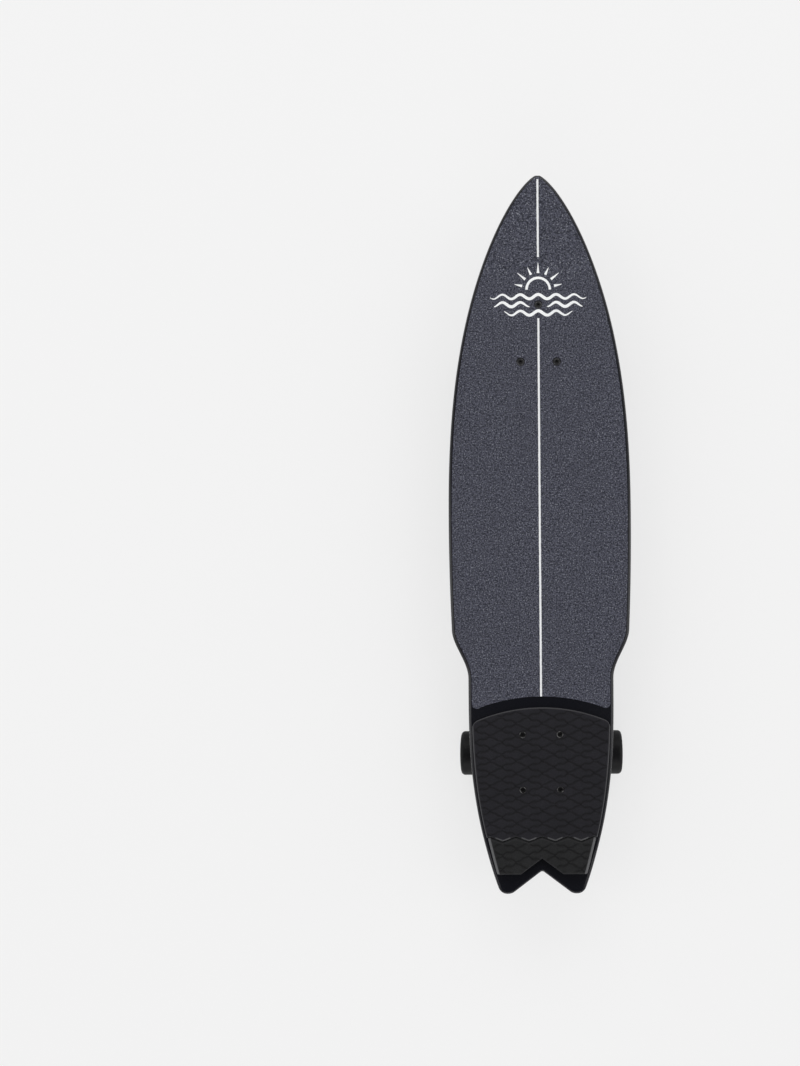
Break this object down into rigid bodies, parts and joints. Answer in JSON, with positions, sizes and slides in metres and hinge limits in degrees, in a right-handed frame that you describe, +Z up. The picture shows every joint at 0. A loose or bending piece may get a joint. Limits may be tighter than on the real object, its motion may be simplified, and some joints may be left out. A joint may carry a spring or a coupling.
{
  "type": "surf skateboard",
  "caption": "Surf skateboard with a pointed nose, winged swallow tail, rear traction pad, a swivelling sprung front truck, a rubber-bushed rear truck and four wheels.",
  "frame": {"origin": "on the ground under the middle of the deck's length and width", "axes": "+X to the rider's right when facing the nose, +Y towards the nose, +Z up"},
  "size_m": [0.235, 0.9144, 0.1308],
  "materials": {
    "deck_lacquer": "glossy black lacquer over laminated wood",
    "grip": "gritty dark charcoal",
    "foam": "matte black closed-cell foam",
    "riser": "matte black",
    "black_steel": "black oxide, satin",
    "cast_alloy": "sand-blasted casting, brushed on the bars",
    "bright_steel": "zinc plated, satin",
    "bearing_steel": "ground and polished",
    "spring_steel": "zinc plated wire",
    "bushing_rubber": "matte black",
    "cup_plastic": "matte black",
    "washer_plastic": "off-white, waxy",
    "wheel_urethane": "satin charcoal black",
    "core_plastic": "satin black"
  },
  "bodies": {
    "board": {"deck": "deck_lacquer", "grip_sheet": "grip", "traction_pad": "foam", "kick_pad": "foam", "front_riser": "riser", "rear_riser": "riser", "front_deck_bolts": "black_steel", "front_lock_nuts": "black_steel", "rear_deck_bolts": "black_steel", "rear_lock_nuts": "black_steel", "rear_baseplate": "cast_alloy", "rear_pivot_cup": "cup_plastic", "rear_kingpin": "bright_steel", "rear_bushing_deck": "bushing_rubber", "rear_bushing_road": "bushing_rubber", "rear_cup_washers": "bright_steel", "rear_kingpin_nut": "bright_steel", "front_base": "cast_alloy", "spring_left": "spring_steel", "spring_right": "spring_steel", "thrust_washer": "washer_plastic", "swivel_outer_race": "bearing_steel", "swivel_balls_set": "bearing_steel"},
    "swivel": {"swivel_inner_race": "bearing_steel", "swivel_arm": "cast_alloy", "swivel_bolt": "bright_steel", "front_kingpin": "bright_steel", "front_kingpin_washer": "bright_steel"},
    "front_axle_set": {"front_hanger": "cast_alloy", "front_ring_bushing": "bushing_rubber", "front_axle": "bright_steel", "front_speed_washers": "bright_steel", "front_axle_nuts": "black_steel", "front_inner_races": "bearing_steel", "front_spacers": "bright_steel"},
    "rear_axle_set": {"rear_hanger": "cast_alloy", "rear_axle": "bright_steel", "rear_speed_washers": "bright_steel", "rear_axle_nuts": "black_steel", "rear_inner_races": "bearing_steel", "rear_spacers": "bright_steel"},
    "wheel_front_left": {"tyre_front_left": "wheel_urethane", "core_front_left": "core_plastic", "outer_races_front_left": "bearing_steel", "balls_front_left": "bearing_steel"},
    "wheel_front_right": {"tyre_front_right": "wheel_urethane", "core_front_right": "core_plastic", "outer_races_front_right": "bearing_steel", "balls_front_right": "bearing_steel"},
    "wheel_rear_left": {"tyre_rear_left": "wheel_urethane", "core_rear_left": "core_plastic", "outer_races_rear_left": "bearing_steel", "balls_rear_left": "bearing_steel"},
    "wheel_rear_right": {"tyre_rear_right": "wheel_urethane", "core_rear_right": "core_plastic", "outer_races_rear_right": "bearing_steel", "balls_rear_right": "bearing_steel"}
  },
  "joints": [
    {"name": "front_swivel", "type": "hinge", "parent": "board", "child": "swivel", "pos_m": [0, 0.2604, 0.08], "axis": [0, 0, 1], "range_deg": [-20, 20], "stiffness_Nm_per_rad": 13, "deforming": ["spring_left", "spring_right"]},
    {"name": "front_lean", "type": "hinge", "parent": "swivel", "child": "front_axle_set", "pos_m": [0, 0.235, 0.047], "axis": [0, -0.9659, -0.2588], "range_deg": [-15, 15], "stiffness_Nm_per_rad": 4},
    {"name": "rear_lean", "type": "hinge", "parent": "board", "child": "rear_axle_set", "pos_m": [0, -0.2601, 0.0652], "axis": [0, -0.9272, 0.3746], "range_deg": [-15, 15], "stiffness_Nm_per_rad": 60, "deforming": ["rear_bushing_deck", "rear_bushing_road"]},
    {"name": "front_left_spin", "type": "hinge", "parent": "front_axle_set", "child": "wheel_front_left", "pos_m": [-0.0655, 0.235, 0.03], "axis": [1, 0, 0], "continuous": true},
    {"name": "front_right_spin", "type": "hinge", "parent": "front_axle_set", "child": "wheel_front_right", "pos_m": [0.0655, 0.235, 0.03], "axis": [1, 0, 0], "continuous": true},
    {"name": "rear_left_spin", "type": "hinge", "parent": "rear_axle_set", "child": "wheel_rear_left", "pos_m": [-0.0841, -0.2851, 0.03], "axis": [1, 0, 0], "continuous": true},
    {"name": "rear_right_spin", "type": "hinge", "parent": "rear_axle_set", "child": "wheel_rear_right", "pos_m": [0.0841, -0.2851, 0.03], "axis": [1, 0, 0], "continuous": true}
  ]
}
